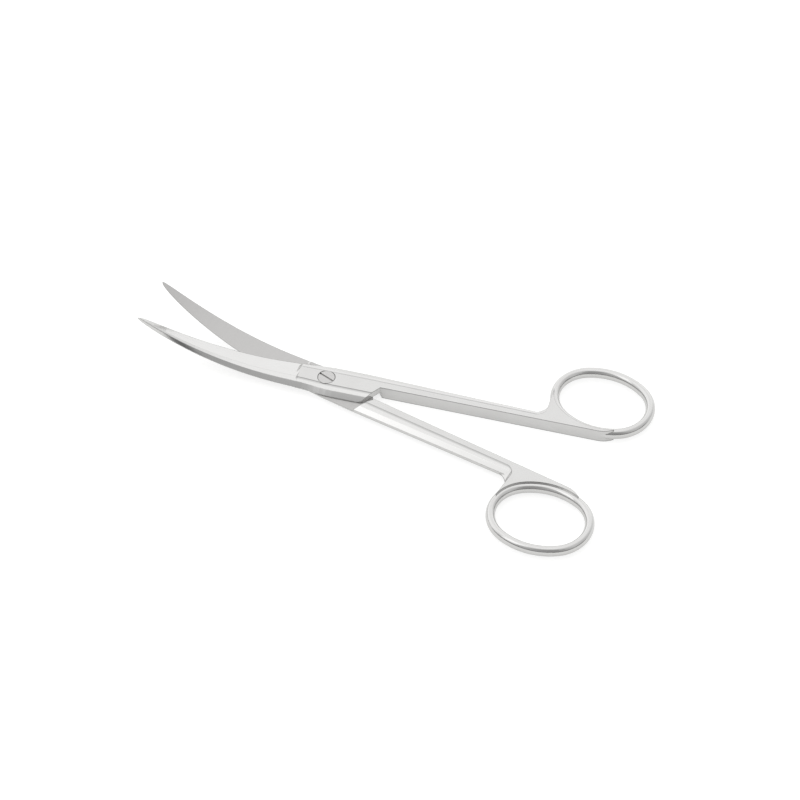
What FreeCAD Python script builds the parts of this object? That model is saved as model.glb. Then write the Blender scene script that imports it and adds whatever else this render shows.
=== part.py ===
import FreeCAD, Part
import math
import os
import Sketcher
from FreeCAD import Placement, Rotation, Vector

# Curved dissecting scissors: two forged halves that cross at a lap joint and turn on one slotted screw.
# The scissors lie flat: Z is up from the surface they rest on, the pivot is on the Z axis, and X runs
# towards the finger rings along the line on which the halves close.

doc = FreeCAD.newDocument("dissecting_scissors")
sheet = doc.addObject("Spreadsheet::Sheet", "sizes")

DRIVING_SIZES = [
    ("half_thickness", 2.05, "height of each half at the lap, half the height of the shanks"),
    ("rest_half_angle", 8.3, "turn of each half away from the closing line as the scissors lie"),
    ("closing_gap", 0.06, "distance from each shank's flat inner side to the closing line"),
    ("lap_clearance", 0.04, "running clearance between the faces that slide on each other"),
    ("side_land", 0.5, "half the height of the upright band on the outer sides of the shanks"),
    ("spine_land", 0.25, "height of the upright band on the spine side"),
    ("crease_width", 0.1, "width of the sharp slope between the flat faces and the bevels"),
    ("crease_drop", 0.12, "height by which the flat faces stand over the bevels there"),
    ("facet_share", 0.55, "share of a bevel's width that its upper, flatter facet takes"),
    ("facet_slope", 20.0, "slope of that facet"),
    ("facet_radius", 25.0, "radius of the crown on both facets of the bevels"),
    ("box_spine", 5.3, "reach of the lap on its spine side"),
    ("box_edge", 5.35, "reach of the lap on its cutting side, and of the shank where it starts"),
    ("box_crease", 2.35, "reach of the lap's flat face to each of its creases"),
    ("box_front", 7.8, "distance from the pivot to the step where the blade's grinding starts"),
    ("neck_length", 10.5, "length over which the lap draws in to the blade, up to that step"),
    ("step_length", 1.1, "length of the slope from the lap down to the blade's ground face"),
    ("shoulder_reach", 15.9, "distance from the pivot to the shoulder, at the inner side of the shank"),
    ("shoulder_angle", 54.0, "angle between the shoulder and the shank"),
    ("shoulder_gap", 0.4, "distance between the end of one lap and the other half's shoulder, closed"),
    ("lap_corner", 3.2, "radius of the outer corner of the lap's end"),
    ("end_width", 3.85, "reach of the shank's outer side where it runs into the web of the ring"),
    ("start_crease", 2.15, "width of the shank's flat top at the lap"),
    ("end_crease", 1.55, "width of the shank's flat top at the web"),
    ("ring_reach", 75.5, "distance from the pivot to the middle of the finger ring"),
    ("ring_length", 26.9, "long diameter of the ring, at the middle of its wire"),
    ("ring_width", 21.7, "short diameter of the ring, at the middle of its wire"),
    ("ring_end_radius", 10.0, "radius of the ring's two ends, at the middle of its wire"),
    ("ring_tilt", 11.3, "turn of the ring's long diameter towards the closing line"),
    ("ring_wire", 2.6, "thickness of the ring's wire, seen from above"),
    ("wire_end_radius", 1.15, "radius of the wire's rounded top and bottom"),
    ("ring_relief", 0.5, "height by which the ring's wire stays under the flat face of the web"),
    ("web_edge", 0.35, "distance by which the flat web ends short of the middle of the ring's wire"),
    ("web_corner", 5.0, "radius of the hollow corner between the shank and the ring, at half the height"),
    ("crease_corner", 3.0, "radius of the same corner on the flat faces"),
    ("web_overhang", 0.3, "distance by which the web starts in front of the middle of the wire"),
    ("blade_reach", 54.4, "distance from the pivot to the tip, seen from above"),
    ("blade_spine", 4.66, "reach of the blade's spine side, run back to the pivot"),
    ("blade_edge", 5.1, "reach of the blade's cutting edge, run back to the pivot"),
    ("spine_taper", 0.64, "power by which the spine side draws in to the tip"),
    ("edge_taper", 0.5, "power by which the cutting edge draws in to the tip"),
    ("thickness_taper", 0.3, "power by which the thickness falls to the tip"),
    ("ridge_share", 0.58, "share of the spine side's reach that lies outside the ridge"),
    ("tip_width", 0.24, "width that is left at the tip"),
    ("tip_thickness", 0.35, "thickness that is left at the tip"),
    ("edge_land", 0.1, "height of the cutting edge's narrow land"),
    ("bend_start", 13.1, "distance from the pivot to where the blades start to curve upwards"),
    ("bend_radius", 85.6, "radius of that curve, at the faces that meet"),
    ("edge_relief", 0.05, "clearance of the inner face at the cutting edge"),
    ("spine_relief", 0.14, "clearance of the inner face at the spine"),
    ("head_radius", 2.4, "radius of the screw's head"),
    ("head_height", 1.0, "height of the screw's head"),
    ("head_chamfer", 0.12, "chamfer round the top of the screw's head"),
    ("screw_radius", 1.5, "radius of the screw's shank and of its thread"),
    ("running_fit", 0.04, "radial clearance of the screw in the upper half"),
    ("head_fit", 0.08, "radial clearance of the screw's head in its seat"),
    ("thread_fit", 0.01, "radial clearance of the screw in the lower half"),
    ("slot_width", 0.5, "width of the screwdriver slot"),
    ("slot_depth", 0.55, "depth of the screwdriver slot"),
    ("slot_angle", 16.8, "turn of the slot away from the X axis"),
]
# The ring is an oval of four arcs that meet without a kink, two ends and two flatter sides, and so is the
# cross section of its wire, which stands upright.
DERIVED_SIZES = [
    ("shank_start", "=shoulder_reach - box_edge",
     "distance from the pivot to where the lap turns into the shank"),
    ("neck_start", "=box_front - neck_length",
     "distance from the pivot, towards the tip, to where the lap starts to draw in"),
    ("web_front", "=ring_reach - ring_length / 2 - web_overhang",
     "distance from the pivot to the front of the web"),
    ("end_offset", "=ring_length / 2 - ring_end_radius",
     "distance from the ring's middle to the middles of its end arcs"),
    ("end_excess", "=end_offset - (ring_length - ring_width) / 2",
     "difference between that distance and the ring's flattening"),
    ("side_offset", "=(end_offset ^ 2 - end_excess ^ 2) / (2 * end_excess)",
     "distance from the ring's middle to the middles of its side arcs"),
    ("side_radius", "=ring_width / 2 + side_offset",
     "radius of the ring's two sides, at the middle of its wire"),
    ("joint_angle", "=atan(side_offset / end_offset)",
     "half the angle of each end arc"),
    ("wire_end_offset", "=half_thickness - ring_relief - wire_end_radius",
     "distance from the middle of the wire to the middles of its top and bottom arcs"),
    ("wire_end_excess", "=wire_end_offset + ring_wire / 2 - half_thickness + ring_relief",
     "difference between that distance and the wire's flattening"),
    ("wire_side_offset", "=(wire_end_offset ^ 2 - wire_end_excess ^ 2) / (2 * wire_end_excess)",
     "distance from the middle of the wire to the middles of its side arcs"),
    ("wire_side_radius", "=ring_wire / 2 + wire_side_offset",
     "radius of the wire's two sides"),
    ("wire_joint_angle", "=atan(wire_side_offset / wire_end_offset)",
     "half the angle of the wire's top and bottom arcs"),
    ("inner_side_reach", "=side_radius - side_offset * cos(ring_tilt * 1 deg)",
     "reach of the ring from its middle towards the closing line"),
    ("ring_side", "=closing_gap + ring_wire / 2 + inner_side_reach",
     "distance from the closing line to the ring's middle, with the wire's outside beside that line"),
    ("joint_along", "=end_offset + ring_end_radius * cos(joint_angle)",
     "distance from the ring's middle to where its arcs meet, along its long diameter"),
    ("joint_beside", "=ring_end_radius * sin(joint_angle)",
     "distance from the ring's long diameter to where its arcs meet"),
    ("flat_end", "=ring_reach + joint_along * cos(ring_tilt * 1 deg) - joint_beside * sin(ring_tilt * 1 deg)",
     "distance from the pivot to where the web's flat face runs out on the ring"),
    ("flat_side", "=ring_side - joint_along * sin(ring_tilt * 1 deg) - joint_beside * cos(ring_tilt * 1 deg)",
     "distance from the closing line to that point"),
    ("taper_start", "=ring_reach + side_offset * sin(ring_tilt * 1 deg)",
     "distance from the pivot to where the flat face starts to taper"),
    ("taper_length", "=flat_end - taper_start", "length of that taper"),
    ("taper_depth", "=flat_side - closing_gap", "depth of that taper"),
    ("taper_radius", "=(taper_length ^ 2 + taper_depth ^ 2) / (2 * taper_depth)",
     "radius of that taper, which starts in line with the inner side"),
]
for row, (alias, content, meaning) in enumerate(DRIVING_SIZES + DERIVED_SIZES, start=1):
    sheet.set(f"A{row}", alias)
    sheet.set(f"B{row}", str(content))
    sheet.set(f"C{row}", meaning)
    sheet.setAlias(f"B{row}", alias)
doc.recompute()

# The blade and the neck are straight between this many cross sections. The blade's lie closer together
# towards the tip by this power.
BLADE_STATIONS = 20
NECK_STATIONS = 6
CROWDING = 1.5
# Cutting outlines run this far past the metal that they cut.
MARGIN = "2"
# Metal that has to run into other metal goes this far below its surface.
SINK = "0.05"
# A point at this share of both of the ring's half sizes lies inside its wire, on the diagonal.
ON_DIAGONAL = 0.7


def evaluate(expression):
    """The number that an expression over the sheet gives now."""
    result = sheet.evalExpression(expression)
    return float(getattr(result, "Value", result))


def plane_of(body, role):
    return next(feature for feature in body.Origin.OriginFeatures if feature.Role == role)


def sketch_on(body, name, role, offset=None):
    """A sketch on one of the body's own planes. Offset maps paths of the attachment to expressions."""
    sketch = body.newObject("Sketcher::SketchObject", name)
    sketch.AttachmentSupport = (plane_of(body, role), [""])
    sketch.MapMode = "FlatFace"
    for path, expression in (offset or {}).items():
        sketch.setExpression("AttachmentOffset." + path, expression)
    return sketch


def bind(sketch, constraint, expression):
    """Adds a constraint whose last argument is the expression's value, and binds it to the expression."""
    index = sketch.addConstraint(Sketcher.Constraint(*constraint, evaluate(expression)))
    sketch.setExpression(f"Constraints[{index}]", expression)


def draw(sketch, corners):
    """Closes an outline through corners, each (across, up) or (across, up, radius). With a radius, the side
    that starts at the corner is an arc that bulges to the right of the way round, or to the left when the
    radius starts with a minus sign."""
    points = [Vector(evaluate(corner[0]), evaluate(corner[1]), 0) for corner in corners]
    starts = []
    ends = []
    for index, corner in enumerate(corners):
        start = points[index]
        end = points[(index + 1) % len(points)]
        if len(corner) == 2:
            side = sketch.addGeometry(Part.LineSegment(start, end), False)
            starts.append((side, 1))
            ends.append((side, 2))
            continue
        left = corner[2].startswith("-")
        radius_expression = corner[2].lstrip("-")
        radius = evaluate(radius_expression)
        chord = end - start
        rise = radius - math.sqrt(radius ** 2 - (chord.Length / 2) ** 2)
        right = Vector(chord.y, -chord.x, 0).normalize()
        middle = (start + end) / 2 + right * (-rise if left else rise)
        if left:
            side = sketch.addGeometry(Part.Arc(end, middle, start), False)
            starts.append((side, 2))
            ends.append((side, 1))
        else:
            side = sketch.addGeometry(Part.Arc(start, middle, end), False)
            starts.append((side, 1))
            ends.append((side, 2))
        bind(sketch, ("Radius", side), radius_expression)
    for index, corner in enumerate(corners):
        sketch.addConstraint(Sketcher.Constraint("Coincident", *ends[index - 1], *starts[index]))
        bind(sketch, ("DistanceX", -1, 1, *starts[index]), corner[0])
        bind(sketch, ("DistanceY", -1, 1, *starts[index]), corner[1])


def loft(body, name, sections):
    feature = body.newObject("PartDesign::AdditiveLoft", name)
    feature.Profile = sections[0]
    feature.Sections = sections[1:]
    feature.Ruled = True
    doc.recompute()
    return feature


def pad(body, name, sketch, length, midplane=False):
    feature = body.newObject("PartDesign::Pad", name)
    feature.Profile = sketch
    feature.Midplane = midplane
    feature.setExpression("Length", length)
    doc.recompute()
    return feature


def pocket(body, name, sketch, length=None, reversed_way=False):
    """Cuts to the length, or right through both ways when it has none. Stops if it cuts nothing."""
    before = body.Shape.Volume
    feature = body.newObject("PartDesign::Pocket", name)
    feature.Profile = sketch
    feature.Reversed = reversed_way
    if length is None:
        feature.Type = "ThroughAll"
        feature.Midplane = True
    else:
        feature.setExpression("Length", length)
    doc.recompute()
    if body.Shape.Volume >= before:
        raise RuntimeError(f"{name} cuts nothing")
    return feature


def cross_section(body, name, distance, height="0", tilt="0"):
    """A sketch across the half at a distance towards the rings, tilted about the Y axis."""
    sketch = body.newObject("Sketcher::SketchObject", name)
    sketch.AttachmentSupport = (plane_of(body, "YZ_Plane"), [""])
    sketch.MapMode = "FlatFace"
    sketch.AttachmentOffset = Placement(Vector(0, 0, 0), Rotation(Vector(1, 0, 0), 1))
    sketch.setExpression("AttachmentOffset.Base.y", height)
    sketch.setExpression("AttachmentOffset.Base.z", distance)
    sketch.setExpression("AttachmentOffset.Rotation.Angle", tilt)
    return sketch


# Each half is built in its own frame: X towards its ring along the closing line, the mating plane at z = 0,
# the lap above it and the shank on both sides of it. The blade curves up or down from the mating plane.

def knuckle(crease, width, top, way="1"):
    """The corner between a bevel's two facets, as a corner of an outline. Way is -1 on the spine side."""
    run = f"sizes.facet_share * ({width} - {crease})"
    return (f"{way} * ({crease} + {run})", f"{top} - {run} * tan(sizes.facet_slope * 1 deg)",
            "sizes.facet_radius")


def build_shank(body):
    sections = []
    for end, distance, width, crease in (
        ("start", "sizes.shank_start", "sizes.box_edge", "sizes.start_crease"),
        ("end", "sizes.web_front + sizes.web_overhang", "sizes.end_width", "sizes.end_crease"),
    ):
        section = cross_section(body, f"shank_{end}", distance)
        across, up, radius = knuckle(crease, width, "sizes.half_thickness")
        draw(section, [
            ("sizes.closing_gap", "-sizes.half_thickness"),
            (crease, "-sizes.half_thickness"),
            (f"{crease} + sizes.crease_width", "sizes.crease_drop - sizes.half_thickness", radius),
            (across, f"-({up})", radius),
            (width, "-sizes.side_land"),
            (width, "sizes.side_land", radius),
            (across, up, radius),
            (f"{crease} + sizes.crease_width", "sizes.half_thickness - sizes.crease_drop"),
            (crease, "sizes.half_thickness"),
            ("sizes.closing_gap", "sizes.half_thickness"),
        ])
        sections.append(section)
    loft(body, "shank", sections)


def build_web(body):
    """The web is a flat plate over the near side of the ring. Its outer edge lies under the ring's wire, and
    the hollow corner in front of the ring slopes as the shank's bevels do."""
    half_long = f"{ON_DIAGONAL} * sizes.ring_length / 2"
    half_short = f"{ON_DIAGONAL} * sizes.ring_width / 2"
    outlines = []
    for name, height, width, corner in (
        ("bottom", "-sizes.half_thickness", "sizes.end_crease", "sizes.crease_corner"),
        ("middle", "0", "sizes.end_width", "sizes.web_corner"),
        ("top", "sizes.half_thickness", "sizes.end_crease", "sizes.crease_corner"),
    ):
        outline = sketch_on(body, f"web_{name}", "XY_Plane", {"Base.z": height})
        draw(outline, [
            (f"sizes.web_front - {corner}", "sizes.closing_gap"),
            ("sizes.taper_start", "sizes.closing_gap", "sizes.taper_radius"),
            ("sizes.flat_end", "sizes.flat_side"),
            (f"sizes.ring_reach + {half_long}", "sizes.ring_side"),
            (f"sizes.ring_reach - {half_long}", f"sizes.ring_side + {half_short}"),
            ("sizes.web_front", "sizes.ring_side"),
            ("sizes.web_front", f"{width} + {corner}", f"-{corner}"),
            (f"sizes.web_front - {corner}", width),
        ])
        outlines.append(outline)
    loft(body, "web", outlines)


def cut_ring_opening(body):
    """Cuts the web away inside the ring, along the middle of the ring's wire and a little outside it."""
    end_radius = "(sizes.ring_end_radius + sizes.web_edge)"
    side_radius = "(sizes.side_radius + sizes.web_edge)"
    along = f"(sizes.end_offset + {end_radius} * cos(sizes.joint_angle))"
    beside = f"{end_radius} * sin(sizes.joint_angle)"
    turn = "(sizes.ring_tilt * 1 deg)"
    outline = sketch_on(body, "ring_opening_outline", "XY_Plane")
    corners = []
    for long_way, short_way, radius in (
        ("", "-", end_radius), ("", "", side_radius), ("-", "", end_radius), ("-", "-", side_radius),
    ):
        corners.append((
            f"sizes.ring_reach + {long_way}1 * {along} * cos{turn} + {short_way}1 * {beside} * sin{turn}",
            f"sizes.ring_side - {long_way}1 * {along} * sin{turn} + {short_way}1 * {beside} * cos{turn}",
            radius,
        ))
    draw(outline, corners)
    pocket(body, "ring_opening", outline)


def build_ring(body):
    """The wire is turned round the four arcs, each about its own middle."""
    end_angle = "2 * sizes.joint_angle"
    side_angle = "180 deg - 2 * sizes.joint_angle"
    for name, direction, offset, radius, angle in (
        ("far_end", "0", "sizes.end_offset", "sizes.ring_end_radius", end_angle),
        ("outer_side", "90", "-sizes.side_offset", "sizes.side_radius", side_angle),
        ("near_end", "180", "sizes.end_offset", "sizes.ring_end_radius", end_angle),
        ("inner_side", "270", "-sizes.side_offset", "sizes.side_radius", side_angle),
    ):
        heading = f"({direction} - sizes.ring_tilt)"
        section = body.newObject("Sketcher::SketchObject", f"ring_{name}_section")
        section.AttachmentSupport = (plane_of(body, "XZ_Plane"), [""])
        section.MapMode = "FlatFace"
        section.AttachmentOffset = Placement(Vector(0, 0, 0), Rotation(Vector(0, 1, 0), 1))
        section.setExpression("AttachmentOffset.Base.x",
                              f"sizes.ring_reach + {offset} * cos({heading} * 1 deg)")
        section.setExpression("AttachmentOffset.Base.z",
                              f"-(sizes.ring_side + {offset} * sin({heading} * 1 deg))")
        section.setExpression("AttachmentOffset.Rotation.Angle", heading)
        joint_across = "sizes.wire_end_radius * sin(sizes.wire_joint_angle)"
        joint_up = "(sizes.wire_end_offset + sizes.wire_end_radius * cos(sizes.wire_joint_angle))"
        draw(section, [
            (f"{radius} - {joint_across}", f"-{joint_up}", "sizes.wire_end_radius"),
            (f"{radius} + {joint_across}", f"-{joint_up}", "sizes.wire_side_radius"),
            (f"{radius} + {joint_across}", joint_up, "sizes.wire_end_radius"),
            (f"{radius} - {joint_across}", joint_up, "sizes.wire_side_radius"),
        ])
        arc = body.newObject("PartDesign::Revolution", f"ring_{name}")
        arc.Profile = section
        arc.ReferenceAxis = (section, ["V_Axis"])
        arc.Midplane = True
        arc.setExpression("Angle", angle)
        doc.recompute()


def blade_spine(reach):
    share = f"(1 - {reach} / sizes.blade_reach)"
    return f"(sizes.blade_spine * {share} ^ sizes.spine_taper + sizes.tip_width / 2)"


def blade_edge(reach):
    share = f"(1 - {reach} / sizes.blade_reach)"
    return f"(sizes.blade_edge * {share} ^ sizes.edge_taper + sizes.tip_width / 2)"


def blade_thickness(reach):
    share = f"((sizes.blade_reach - {reach}) / (sizes.blade_reach - sizes.box_front))"
    gain = f"(sizes.half_thickness - sizes.tip_thickness) * {share} ^ sizes.thickness_taper"
    return f"(sizes.tip_thickness + {gain})"


def lap_section(body, name, distance, spine, edge, ridge):
    """Across the lap: flat below and on top, and crowned bevels down to an upright band on each side."""
    section = cross_section(body, name, distance)
    draw(section, [
        (f"-{spine}", "sizes.lap_clearance / 2"),
        (edge, "sizes.lap_clearance / 2"),
        (edge, "sizes.side_land", "sizes.facet_radius"),
        knuckle("sizes.start_crease", edge, "sizes.half_thickness"),
        ("sizes.start_crease + sizes.crease_width", "sizes.half_thickness - sizes.crease_drop"),
        ("sizes.start_crease", "sizes.half_thickness"),
        (f"-{ridge}", "sizes.half_thickness"),
        (f"-{ridge} - sizes.crease_width", "sizes.half_thickness - sizes.crease_drop", "sizes.facet_radius"),
        knuckle(ridge, spine, "sizes.half_thickness", "-1"),
        (f"-{spine}", "sizes.spine_land"),
    ])
    return section


def build_lap(body):
    """The lap is the half-thick block at the screw. It is straight up to its neck, where it draws in to the
    blade. Its tail lies on the spine side only, beside the shank."""
    straight = lap_section(body, "lap_outline", "-sizes.neck_start", "sizes.box_spine", "sizes.box_edge",
                           "sizes.box_crease")
    pad(body, "lap", straight, "sizes.shank_start + sizes.neck_start")
    tail = cross_section(body, "lap_tail_outline", "sizes.shank_start")
    draw(tail, [
        ("-sizes.box_spine", "sizes.lap_clearance / 2"),
        ("sizes.start_crease / 2", "sizes.lap_clearance / 2"),
        ("sizes.start_crease / 2", "sizes.half_thickness"),
        ("-sizes.box_crease", "sizes.half_thickness"),
        ("-sizes.box_crease - sizes.crease_width", "sizes.half_thickness - sizes.crease_drop",
         "sizes.facet_radius"),
        knuckle("sizes.box_crease", "sizes.box_spine", "sizes.half_thickness", "-1"),
        ("-sizes.box_spine", "sizes.spine_land"),
    ])
    pad(body, "lap_tail", tail, f"sizes.box_edge + {MARGIN}")
    front_spine = blade_spine("sizes.box_front")
    front_edge = blade_edge("sizes.box_front")
    front_ridge = f"{front_spine} * (1 - sizes.ridge_share)"
    sections = []
    for station in range(NECK_STATIONS + 1):
        way = station / NECK_STATIONS
        drawn_in = (1 - math.cos(math.pi * way)) / 2
        sections.append(lap_section(
            body, f"neck_{station}", f"-(sizes.neck_start + {way:.6f} * sizes.neck_length)",
            f"(sizes.box_spine + {drawn_in:.6f} * ({front_spine} - sizes.box_spine))",
            f"(sizes.box_edge + {drawn_in:.6f} * ({front_edge} - sizes.box_edge))",
            f"(sizes.box_crease + {drawn_in:.6f} * ({front_ridge} - sizes.box_crease))",
        ))
    loft(body, "neck", sections)


def build_step(body):
    """The slope where the grinding of the blade runs out in front of the lap. It ends inside the blade."""
    front_edge = blade_edge("sizes.box_front")
    ridge = f"{blade_spine('sizes.box_front')} * (1 - sizes.ridge_share)"
    start = cross_section(body, "step_start", "-sizes.box_front")
    draw(start, [
        (f"-{ridge} / 2", "sizes.side_land"),
        (front_edge, "sizes.spine_relief"),
        (front_edge, "sizes.side_land", "sizes.facet_radius"),
        knuckle("sizes.start_crease", front_edge, "sizes.half_thickness"),
        ("sizes.start_crease + sizes.crease_width", "sizes.half_thickness - sizes.crease_drop"),
        ("sizes.start_crease", "sizes.half_thickness"),
        (f"-{ridge}", "sizes.half_thickness"),
    ])
    reach = "(sizes.box_front + sizes.step_length)"
    edge = blade_edge(reach)
    low = "(sizes.edge_relief + sizes.edge_land)"
    slope = f"(({blade_thickness(reach)} - {low}) / ({edge} + {ridge}))"
    end = cross_section(body, "step_end", f"-{reach}")

    def on_ground_face(across):
        return (across, f"{low} + ({edge} - ({across})) * {slope} - {SINK}")

    draw(end, [
        (f"-{ridge} / 2", "sizes.side_land"),
        (f"{edge} - sizes.side_land", "sizes.spine_relief"),
        on_ground_face(f"{edge} - sizes.side_land"),
        on_ground_face(knuckle("sizes.start_crease", edge, "sizes.half_thickness")[0]),
        on_ground_face("sizes.start_crease + sizes.crease_width"),
        on_ground_face("sizes.start_crease"),
        on_ground_face(f"-{ridge}"),
    ])
    loft(body, "step", [start, end])


def cut_shoulder(body):
    """Clears the shank's other half of the height in front of the shoulder, where the mate's lap turns."""
    slope = "tan(sizes.shoulder_angle * 1 deg)"
    front = f"sizes.shank_start - {MARGIN}"
    side = f"(sizes.box_edge + {MARGIN})"
    outline = sketch_on(body, "shoulder_outline", "XY_Plane")
    draw(outline, [
        (front, f"-{MARGIN}"),
        (f"sizes.shoulder_reach + {MARGIN} / {slope}", f"-{MARGIN}"),
        (f"sizes.shoulder_reach - {side} / {slope}", side),
        (front, side),
    ])
    pocket(body, "shoulder", outline, f"sizes.half_thickness + {MARGIN}")


def cut_lap_end(body):
    """Ends the lap parallel to the closed mate's shoulder, with its outer corner rounded."""
    angle = "sizes.shoulder_angle * 1 deg"
    root = f"(sizes.shoulder_reach - sizes.shoulder_gap / sin({angle}))"
    corner = f"({root} - sizes.box_spine / tan({angle}))"
    tangent = f"(sizes.lap_corner * tan({angle} / 2))"
    back = f"sizes.shoulder_reach + {MARGIN}"
    side = f"-(sizes.box_spine + {MARGIN})"
    outline = sketch_on(body, "lap_end_outline", "XY_Plane")
    draw(outline, [
        (f"{root} + sizes.closing_gap / tan({angle})", "sizes.closing_gap"),
        (back, "sizes.closing_gap"),
        (back, side),
        (f"{corner} - {tangent}", side),
        (f"{corner} - {tangent}", "-sizes.box_spine", "sizes.lap_corner"),
        (f"{corner} + {tangent} * cos({angle})", f"{tangent} * sin({angle}) - sizes.box_spine"),
    ])
    pocket(body, "lap_end", outline, f"sizes.half_thickness + {MARGIN}", reversed_way=True)


def build_blade(body, bend):
    """Bend is 1 where the blade curves towards its outer face and -1 where it curves away from it. The cross
    sections stand square to the curve and lie closer together towards the tip."""
    sections = []
    for station in range(BLADE_STATIONS + 1):
        way = 1 - (1 - station / BLADE_STATIONS) ** CROWDING
        reach = f"(sizes.box_front + (sizes.blade_reach - sizes.box_front) * {way:.6f})"
        run = f"max({reach} - sizes.bend_start; 0)"
        tilt = f"{bend} * asin({run} / sizes.bend_radius) / 1 deg"
        height = f"{bend} * (sizes.bend_radius - sqrt(sizes.bend_radius ^ 2 - {run} ^ 2))"
        spine = blade_spine(reach)
        ridge = f"{spine} * (1 - sizes.ridge_share)"
        section = cross_section(body, f"blade_{station}", f"-{reach}", height, tilt)
        draw(section, [
            (f"-{spine}", "sizes.spine_relief"),
            (blade_edge(reach), "sizes.edge_relief"),
            (blade_edge(reach), "sizes.edge_relief + sizes.edge_land"),
            (f"-{ridge}", blade_thickness(reach), "sizes.facet_radius"),
            knuckle(ridge, spine, blade_thickness(reach), "-1"),
            (f"-{spine}", "sizes.spine_land"),
        ])
        sections.append(section)
    loft(body, "blade", sections)


def cut_round_hole(body, name, radius, height="0", depth=None):
    """A round hole on the pivot, right through or down from a height."""
    outline = sketch_on(body, f"{name}_outline", "XY_Plane", {"Base.z": height})
    circle = outline.addGeometry(Part.Circle(Vector(0, 0, 0), Vector(0, 0, 1), evaluate(radius)), False)
    outline.addConstraint(Sketcher.Constraint("Coincident", circle, 3, -1, 1))
    bind(outline, ("Radius", circle), radius)
    pocket(body, name, outline, depth)


def build_half(name, bend):
    body = doc.addObject("PartDesign::Body", name)
    body.Label = name
    doc.recompute()
    build_shank(body)
    cut_shoulder(body)
    build_web(body)
    cut_ring_opening(body)
    build_ring(body)
    build_lap(body)
    cut_lap_end(body)
    build_blade(body, bend)
    build_step(body)
    return body


def build_screw():
    """The screw is turned from bar: a flat head, flush in the upper half, on a shank that ends flush."""
    body = doc.addObject("PartDesign::Body", "pivot_screw")
    body.Label = "pivot_screw"
    doc.recompute()
    profile = sketch_on(body, "screw_profile", "XZ_Plane")
    neck = "2 * sizes.half_thickness - sizes.head_height"
    draw(profile, [
        ("0", "0"),
        ("sizes.screw_radius", "0"),
        ("sizes.screw_radius", neck),
        ("sizes.head_radius", neck),
        ("sizes.head_radius", "2 * sizes.half_thickness - sizes.head_chamfer"),
        ("sizes.head_radius - sizes.head_chamfer", "2 * sizes.half_thickness"),
        ("0", "2 * sizes.half_thickness"),
    ])
    turned = body.newObject("PartDesign::Revolution", "turned")
    turned.Profile = profile
    turned.ReferenceAxis = (profile, ["V_Axis"])
    turned.Angle = 360
    doc.recompute()
    slot = sketch_on(body, "slot_outline", "XY_Plane", {"Base.z": "2 * sizes.half_thickness"})
    slot_end = f"(sizes.head_radius + {MARGIN})"
    draw(slot, [
        (f"-{slot_end}", "-sizes.slot_width / 2"),
        (slot_end, "-sizes.slot_width / 2"),
        (slot_end, "sizes.slot_width / 2"),
        (f"-{slot_end}", "sizes.slot_width / 2"),
    ])
    pocket(body, "slot", slot, "sizes.slot_depth")
    body.setExpression("Placement.Rotation.Angle", "-sizes.slot_angle")
    return body


upper_half = build_half("upper_half", 1)
cut_round_hole(upper_half, "screw_clearance", "sizes.screw_radius + sizes.running_fit")
cut_round_hole(upper_half, "head_seat", "sizes.head_radius + sizes.head_fit",
               "sizes.half_thickness", "sizes.head_height + sizes.lap_clearance")
lower_half = build_half("lower_half", -1)
cut_round_hole(lower_half, "threaded_hole", "sizes.screw_radius + sizes.thread_fit")
pivot_screw = build_screw()
doc.recompute()

# The halves meet at half the height. The upper one's ring turns away from X, the lower one is the same
# forging rolled over about X, and its ring turns the other way.
mating_plane = Vector(0, 0, evaluate("half_thickness"))
half_angle = evaluate("rest_half_angle")
upper_half.Placement = Placement(mating_plane, Rotation(Vector(0, 0, 1), half_angle))
rolled_over = Rotation(Vector(1, 0, 0), 180)
lower_half.Placement = Placement(mating_plane, Rotation(Vector(0, 0, 1), -half_angle) * rolled_over)

failed = [item.Name for item in doc.Objects if {"Invalid", "Error"} & set(item.State)]
if failed:
    raise RuntimeError(f"objects that failed: {failed}")
os.makedirs("parts", exist_ok=True)
for part in (upper_half, lower_half, pivot_screw):
    if part.Shape.isNull() or not part.Shape.isValid() or len(part.Shape.Solids) != 1:
        raise RuntimeError(f"{part.Label} is not one valid solid")
for part in (upper_half, lower_half, pivot_screw):
    part.Shape.exportStep(f"parts/{part.Label}.step")
    print(part.Label, "volume", round(part.Shape.Volume, 2), "faces", len(part.Shape.Faces))
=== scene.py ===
import math

import bpy
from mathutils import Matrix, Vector


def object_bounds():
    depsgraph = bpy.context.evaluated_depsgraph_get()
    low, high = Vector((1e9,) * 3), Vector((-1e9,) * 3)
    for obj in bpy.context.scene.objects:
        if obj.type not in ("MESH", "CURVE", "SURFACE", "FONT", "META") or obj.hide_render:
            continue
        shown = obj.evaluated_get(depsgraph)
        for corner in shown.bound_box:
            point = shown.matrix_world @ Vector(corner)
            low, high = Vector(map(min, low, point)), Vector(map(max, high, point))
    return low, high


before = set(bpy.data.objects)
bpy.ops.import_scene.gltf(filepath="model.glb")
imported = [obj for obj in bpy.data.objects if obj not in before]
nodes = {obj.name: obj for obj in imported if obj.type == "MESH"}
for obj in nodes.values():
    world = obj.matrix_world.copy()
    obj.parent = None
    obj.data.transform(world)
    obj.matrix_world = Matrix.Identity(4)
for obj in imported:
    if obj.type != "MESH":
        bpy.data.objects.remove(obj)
cad_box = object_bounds()


# The white table and backdrop. The scissors lie on a seamless sheet of matt white card, lit so evenly that
# it shows as plain white, with only the object's own soft shadow on it.

def linear(code, alpha=1.0):
    """An sRGB hex colour as the linear values that a shader takes."""
    parts = [int(code[i:i + 2], 16) / 255 for i in (0, 2, 4)]
    return [c / 12.92 if c <= 0.04045 else ((c + 0.055) / 1.055) ** 2.4 for c in parts] + [alpha]


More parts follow.
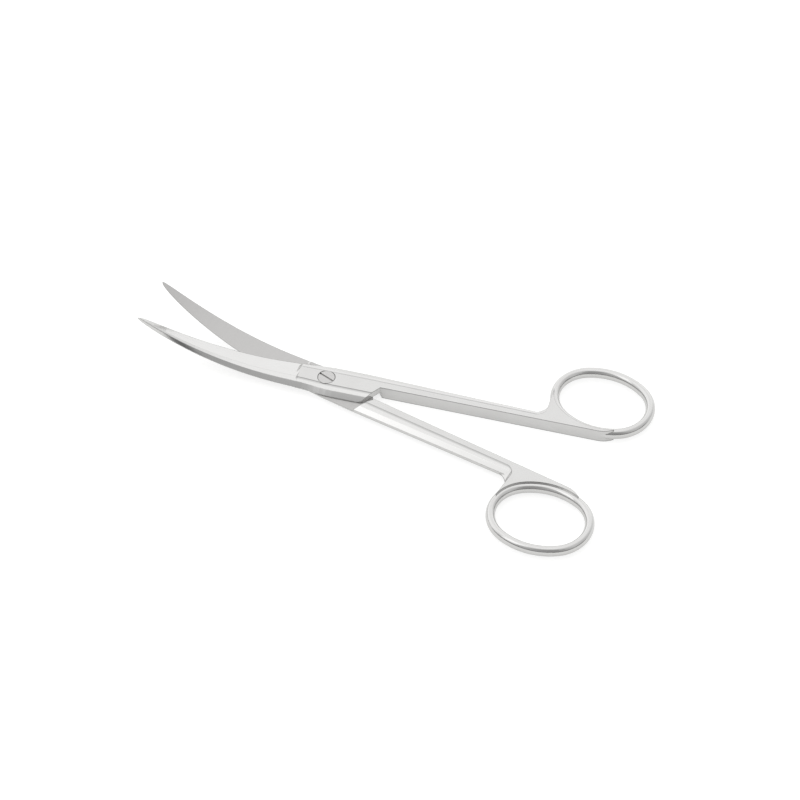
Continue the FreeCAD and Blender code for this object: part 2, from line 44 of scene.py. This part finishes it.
def node(tree, kind, links=(), **settings):
    """Adds a node, applies its settings and fills its inputs, each with a value or another node's output."""
    made = tree.nodes.new(kind)
    for name, value in settings.items():
        setattr(made, name, value)
    for key, value in dict(links).items():
        socket = made.inputs[key]
        if isinstance(value, bpy.types.NodeSocket):
            tree.links.new(value, socket)
        else:
            socket.default_value = value
    return made


def new_material(name):
    """A material with an empty tree and its output."""
    made = bpy.data.materials.new(name)
    made.use_nodes = True
    made.node_tree.nodes.clear()
    output = node(made.node_tree, "ShaderNodeOutputMaterial")
    return made, made.node_tree, output


CARD_COLOUR = linear("EDEDEC")
CARD_SHADED_COLOUR = linear("A8A8A7")
CARD_GLOW = 0.75
CARD_IN_MIRRORS = 0.62
CARD_HALF_SIZE = 3.0
card, tree, output = new_material("matt_white_card")
paper = node(tree, "ShaderNodeBsdfDiffuse", {"Color": CARD_COLOUR})
faint = node(tree, "ShaderNodeBsdfDiffuse", {"Color": CARD_SHADED_COLOUR})
glow = node(tree, "ShaderNodeEmission", {"Color": (1, 1, 1, 1), "Strength": CARD_GLOW})
lit = node(tree, "ShaderNodeAddShader", {0: faint.outputs[0], 1: glow.outputs[0]})
path = node(tree, "ShaderNodeLightPath")
brightness = node(tree, "ShaderNodeMath", {0: path.outputs["Is Glossy Ray"], 1: CARD_IN_MIRRORS,
                                           2: path.outputs["Is Camera Ray"]}, operation="MULTIPLY_ADD")
seen = node(tree, "ShaderNodeMixShader", {0: brightness.outputs[0], 1: paper.outputs[0], 2: lit.outputs[0]})
tree.links.new(seen.outputs[0], output.inputs["Surface"])

corners = [(x * CARD_HALF_SIZE, y * CARD_HALF_SIZE, 0) for x, y in ((-1, -1), (1, -1), (1, 1), (-1, 1))]
sheet = bpy.data.meshes.new("table_card")
sheet.from_pydata(corners, [], [(0, 1, 2, 3)])
sheet.materials.append(card)
table = bpy.data.objects.new("table_card", sheet)
bpy.context.scene.collection.objects.link(table)
table.location.z = cad_box[0].z


# The camera stands where the photographer's did: on the side of the near ring, a metre away, looking down
# at 47 degrees through a long lens.

CAMERA_PLACE = Vector((0.270570, -0.570196, 0.668790))
CAMERA_TARGET = Vector((0.021365, 0.001885, 0.002050))
CAMERA_LENS = 149.13
CAMERA_SENSOR = 36
lens = bpy.data.cameras.new("camera")
lens.lens = CAMERA_LENS
lens.sensor_width = CAMERA_SENSOR
camera = bpy.data.objects.new("camera", lens)
camera.location = CAMERA_PLACE
camera.rotation_mode = "QUATERNION"
camera.rotation_quaternion = (CAMERA_TARGET - CAMERA_PLACE).to_track_quat("-Z", "Y")
bpy.context.scene.collection.objects.link(camera)
bpy.context.scene.camera = camera
bpy.context.scene.view_settings.view_transform = "Standard"


# The light: a white studio tent, brightest behind and above the scissors and darker on the right. A greyer
# panel shows in the flat faces, the cloth is dark at its front opening and at its hem, and it dims at the
# back horizon. One softbox on the left lights the near bevels.

def softbox(name, direction, distance, width, height, radiance):
    """A rectangular area light in that direction from the scissors, facing them."""
    data = bpy.data.lights.new(name, "AREA")
    data.shape = "RECTANGLE"
    data.size = width
    data.size_y = height
    data.energy = radiance * math.pi * width * height
    made = bpy.data.objects.new(name, data)
    made.location = CAMERA_TARGET + Vector(direction).normalized() * distance
    made.rotation_mode = "QUATERNION"
    made.rotation_quaternion = (CAMERA_TARGET - made.location).to_track_quat("-Z", "Y")
    bpy.context.scene.collection.objects.link(made)
    return made


SOFTBOX_DIRECTION = (-0.41, -0.58, 0.69)
SOFTBOX_DISTANCE = 1.2
SOFTBOX_WIDTH = 0.44
SOFTBOX_HEIGHT = 1.0
SOFTBOX_RADIANCE = 0.58
softbox("left_softbox", SOFTBOX_DIRECTION, SOFTBOX_DISTANCE, SOFTBOX_WIDTH, SOFTBOX_HEIGHT, SOFTBOX_RADIANCE)

world = bpy.data.worlds.new("studio_tent")
bpy.context.scene.world = world
world.use_nodes = True
tree = world.node_tree
tree.nodes.clear()
path = node(tree, "ShaderNodeLightPath")
towards = node(tree, "ShaderNodeTexCoord").outputs["Generated"]


def shade_of_tent(towards_dark, start, end, bright, dark):
    """The tent's level, which falls from bright to dark as its direction nears the given one."""
    near = node(tree, "ShaderNodeVectorMath", {0: towards, 1: Vector(towards_dark).normalized()},
                operation="DOT_PRODUCT")
    return node(tree, "ShaderNodeMapRange",
                {0: near.outputs["Value"], 1: start, 2: end, 3: bright, 4: dark},
                interpolation_type="SMOOTHSTEP").outputs[0]


# Each shade takes a direction, and the cosines to it at which the cloth starts and ends to darken.
level = shade_of_tent((0, -1, 0.12), start=0.10, end=1.05, bright=1.26, dark=0.55)
panel = shade_of_tent((-0.27, 0.63, 0.73), start=0.86, end=0.97, bright=1.0, dark=0.91)
right = shade_of_tent((1, -0.1, 0), start=-0.15, end=0.75, bright=1.0, dark=0.60)
opening = shade_of_tent(CAMERA_PLACE - CAMERA_TARGET, start=0.90, end=0.985, bright=1.0, dark=0.72)
horizon = shade_of_tent((-0.32, 0.947, -0.02), start=0.963, end=0.99, bright=1.0, dark=0.88)

# The hem is a low band round the tent's foot, which is left out at the back.
HEM_HEIGHT = 0.10
HEM_HALF_WIDTH = 0.04
HEM_FADED = 0.12
HEM_SHADE = 0.35
BACK_START = 0.2
BACK_END = 0.6
axes = node(tree, "ShaderNodeSeparateXYZ", {0: towards})
off_hem = node(tree, "ShaderNodeMath", {0: axes.outputs["Z"], 1: HEM_HEIGHT}, operation="SUBTRACT").outputs[0]
off_hem = node(tree, "ShaderNodeMath", {0: off_hem}, operation="ABSOLUTE").outputs[0]
hem = node(tree, "ShaderNodeMapRange",
           {0: off_hem, 1: HEM_HALF_WIDTH, 2: HEM_FADED, 3: HEM_SHADE, 4: 1.0}).outputs[0]
at_back = node(tree, "ShaderNodeMapRange", {0: axes.outputs["Y"], 1: BACK_START, 2: BACK_END}).outputs[0]
hem = node(tree, "ShaderNodeMix", {0: at_back, 2: hem, 3: 1.0}).outputs[0]

for part in (panel, right, opening, horizon, hem):
    level = node(tree, "ShaderNodeMath", {0: level, 1: part}, operation="MULTIPLY").outputs[0]
tent_light = node(tree, "ShaderNodeBackground", {"Color": (1, 1, 1, 1), "Strength": level})
white = node(tree, "ShaderNodeBackground", {"Color": (1, 1, 1, 1), "Strength": 1.0})
mixed = node(tree, "ShaderNodeMixShader",
             {0: path.outputs["Is Camera Ray"], 1: tent_light.outputs[0], 2: white.outputs[0]})
output = node(tree, "ShaderNodeOutputWorld", {"Surface": mixed.outputs[0]})


# The two halves are forged from martensitic stainless steel, hardened, ground and polished. The eye sees
# a light grey metal whose crowned bevels mirror the tent in crisp bands. The blades' inner faces are only
# ground, across their length, so that they are duller and darker.

MILLIMETRE = 0.001
POLISHED_COLOUR = "CFCECD"
POLISHED_WORN = "D6D6D5"
POLISHED_ROUGHNESS = (0.10, 0.15)
GROUND_COLOUR = "BEBDBC"
GROUND_ROUGHNESS = (0.36, 0.44)
# The real grinding lines are about 0.02 mm apart, too fine to show. They are drawn 0.15 mm apart.
LINE_SPACING = 0.15 * MILLIMETRE
LINE_STRETCH = 0.04
LINES_PER_WAVE = 2
LINE_DEPTH = 0.002 * MILLIMETRE
GROUND_RELIEF = 0.25
POLISHED_RELIEF = 0.04
CLOUD_SIZE = 6 * MILLIMETRE
NOISE_LOW = 0.3
NOISE_HIGH = 0.7
BLADE_START = -7.8 * MILLIMETRE
MATING_HEIGHT = 2.05 * MILLIMETRE
MATING_MARGIN = 0.1 * MILLIMETRE
INNER_FACING = 0.7
# Painted shade: a dark line along sharp edges, where the rounded normals part from the plain ones, for the
# dark tent that the polished rounding mirrors.
EDGE_RADIUS = 0.25 * MILLIMETRE
EDGE_SHADE = 0.65
EDGE_START = 0.985
EDGE_END = 0.90
BEVEL_SAMPLES = 8
# Painted shade in a band just under the flat faces' height, for the dark crease there and the top of the side
# walls.
FLAT_HEIGHT = 2.05 * MILLIMETRE
CREASE_START = 0.30 * MILLIMETRE
CREASE_DEPTH = 0.12 * MILLIMETRE
CREASE_SHADE = 0.62
FLAT_MARGIN = 0.01 * MILLIMETRE


def ground_lines(tree, place, along, spacing):
    """Noise drawn out into lines. Along is the axis, 0 for X or 1 for Y, on which the lines run."""
    scale = [1, 1, 1]
    scale[along] = LINE_STRETCH
    drawn_out = node(tree, "ShaderNodeMapping", {"Vector": place, "Scale": scale})
    return node(tree, "ShaderNodeTexNoise",
                {"Vector": drawn_out.outputs[0], "Scale": 1 / (LINES_PER_WAVE * spacing),
                 "Detail": 2.0}).outputs["Fac"]


def with_painted_edge_shade(tree, colour):
    """The colour with a painted shade, a narrow dark line along sharp edges for the dark tent that their
    polished rounding mirrors, and the normals that round them.
    """
    rounded = node(tree, "ShaderNodeBevel", {"Radius": EDGE_RADIUS}, samples=BEVEL_SAMPLES).outputs[0]
    plain = node(tree, "ShaderNodeNewGeometry").outputs["Normal"]
    agreement = node(tree, "ShaderNodeVectorMath", {0: rounded, 1: plain}, operation="DOT_PRODUCT")
    shade = node(tree, "ShaderNodeMapRange",
                 {0: agreement.outputs["Value"], 1: EDGE_START, 2: EDGE_END, 3: 1.0, 4: EDGE_SHADE})
    darker = node(tree, "ShaderNodeVectorMath", {0: colour, "Scale": shade.outputs[0]}, operation="SCALE")
    return darker.outputs[0], rounded


def with_painted_crease_shade(tree, colour, height, on_blade):
    """The colour with a painted shade in a band just under the flat faces' height, in their crease and at the
    top of the side walls, off the blades. Height is from the mating plane.
    """
    reach = node(tree, "ShaderNodeMath", {0: height}, operation="ABSOLUTE").outputs[0]
    shade = node(tree, "ShaderNodeMapRange",
                 {0: reach, 1: FLAT_HEIGHT - CREASE_START, 2: FLAT_HEIGHT - CREASE_DEPTH,
                  3: 1.0, 4: CREASE_SHADE}).outputs[0]
    on_flat = node(tree, "ShaderNodeMath", {0: reach, 1: FLAT_HEIGHT - FLAT_MARGIN},
                   operation="GREATER_THAN").outputs[0]
    spared = node(tree, "ShaderNodeMath", {0: on_flat, 1: on_blade}, operation="MAXIMUM").outputs[0]
    shade = node(tree, "ShaderNodeMix", {0: spared, 2: shade, 3: 1.0}).outputs[0]
    return node(tree, "ShaderNodeVectorMath", {0: colour, "Scale": shade}, operation="SCALE").outputs[0]


def steel_half(name, inner_side):
    """Inner side is 1 where the blade's inner face points up and -1 where it points down."""
    made, tree, output = new_material(name)
    place = node(tree, "ShaderNodeTexCoord").outputs["Object"]
    clouds = node(tree, "ShaderNodeTexNoise",
                  {"Vector": place, "Scale": 1 / CLOUD_SIZE, "Detail": 3.0}).outputs["Fac"]
    where = node(tree, "ShaderNodeSeparateXYZ", {0: place})
    facing = node(tree, "ShaderNodeSeparateXYZ", {0: node(tree, "ShaderNodeNewGeometry").outputs["Normal"]})
    on_blade = node(tree, "ShaderNodeMath", {0: where.outputs["X"], 1: BLADE_START},
                    operation="LESS_THAN").outputs[0]
    on_lap = node(tree, "ShaderNodeMath", {0: where.outputs["Z"], 1: MATING_HEIGHT, 2: MATING_MARGIN},
                  operation="COMPARE").outputs[0]
    on_inside = node(tree, "ShaderNodeMath", {0: on_blade, 1: on_lap}, operation="MAXIMUM").outputs[0]
    turned_in = node(tree, "ShaderNodeMath", {0: facing.outputs["Z"], 1: inner_side},
                     operation="MULTIPLY").outputs[0]
    turned_in = node(tree, "ShaderNodeMath", {0: turned_in, 1: INNER_FACING},
                     operation="GREATER_THAN").outputs[0]
    inner = node(tree, "ShaderNodeMath", {0: on_inside, 1: turned_in}, operation="MULTIPLY").outputs[0]
    polish = node(tree, "ShaderNodeMix", {0: clouds}, data_type="RGBA")
    polish.inputs[6].default_value = linear(POLISHED_COLOUR)
    polish.inputs[7].default_value = linear(POLISHED_WORN)
    colour = node(tree, "ShaderNodeMix", {0: inner, 6: polish.outputs[2]}, data_type="RGBA")
    colour.inputs[7].default_value = linear(GROUND_COLOUR)
    across = ground_lines(tree, place, 1, LINE_SPACING)
    bright = node(tree, "ShaderNodeMapRange",
                  {0: clouds, 1: NOISE_LOW, 2: NOISE_HIGH,
                   3: POLISHED_ROUGHNESS[0], 4: POLISHED_ROUGHNESS[1]}).outputs[0]
    matt = node(tree, "ShaderNodeMapRange",
                {0: across, 1: NOISE_LOW, 2: NOISE_HIGH,
                 3: GROUND_ROUGHNESS[0], 4: GROUND_ROUGHNESS[1]}).outputs[0]
    rough = node(tree, "ShaderNodeMix", {0: inner, 2: bright, 3: matt}).outputs[0]
    depth = node(tree, "ShaderNodeMath", {0: inner, 1: GROUND_RELIEF, 2: POLISHED_RELIEF},
                 operation="MULTIPLY_ADD").outputs[0]
    height = node(tree, "ShaderNodeMath", {0: where.outputs["Z"], 1: MATING_HEIGHT},
                  operation="SUBTRACT").outputs[0]
    painted_shade_colour, rounded = with_painted_edge_shade(tree, with_painted_crease_shade(tree, colour.outputs[2], height, on_blade))
    relief = node(tree, "ShaderNodeBump",
                  {"Height": across, "Strength": depth, "Distance": LINE_DEPTH, "Normal": rounded})
    shader = node(tree, "ShaderNodeBsdfPrincipled",
                  {"Base Color": painted_shade_colour, "Metallic": 1.0, "Roughness": rough, "Normal": relief.outputs[0]})
    tree.links.new(shader.outputs[0], output.inputs["Surface"])
    return made


for name, inner_side in (("upper_half", -1), ("lower_half", 1)):
    steel = steel_half(f"polished_stainless_steel_{name}", inner_side)
    nodes[name].data.materials.clear()
    nodes[name].data.materials.append(steel)


# The pivot screw is turned from stainless bar, screwed in and faced off flush with the lap. The eye sees
# faint rings round its middle, and a slot whose bottom is darker.

SCREW_STEEL = "C6C5C4"
SCREW_ROUGHNESS = (0.18, 0.28)
# The real turning rings are about 0.05 mm apart, too fine to show. They are drawn 0.16 mm apart.
TURNING_PITCH = 0.16 * MILLIMETRE
TURNING_RELIEF = 0.15
WAVE_PER_UNIT = 3.2
turned, tree, output = new_material("turned_stainless_steel")
place = node(tree, "ShaderNodeTexCoord").outputs["Object"]
rings = node(tree, "ShaderNodeTexWave",
             {"Vector": place, "Scale": 1 / TURNING_PITCH / WAVE_PER_UNIT, "Distortion": 0.6, "Detail": 2.0},
             wave_type="RINGS", rings_direction="Z").outputs["Fac"]
satin = node(tree, "ShaderNodeMapRange",
             {0: rings, 3: SCREW_ROUGHNESS[0], 4: SCREW_ROUGHNESS[1]}).outputs[0]
rounded = node(tree, "ShaderNodeBevel", {"Radius": EDGE_RADIUS}, samples=6).outputs[0]
relief = node(tree, "ShaderNodeBump",
              {"Height": rings, "Strength": TURNING_RELIEF, "Distance": LINE_DEPTH, "Normal": rounded})
shader = node(tree, "ShaderNodeBsdfPrincipled",
              {"Base Color": linear(SCREW_STEEL), "Metallic": 1.0, "Roughness": satin,
               "Normal": relief.outputs[0]})
tree.links.new(shader.outputs[0], output.inputs["Surface"])
nodes["pivot_screw"].data.materials.clear()
nodes["pivot_screw"].data.materials.append(turned)
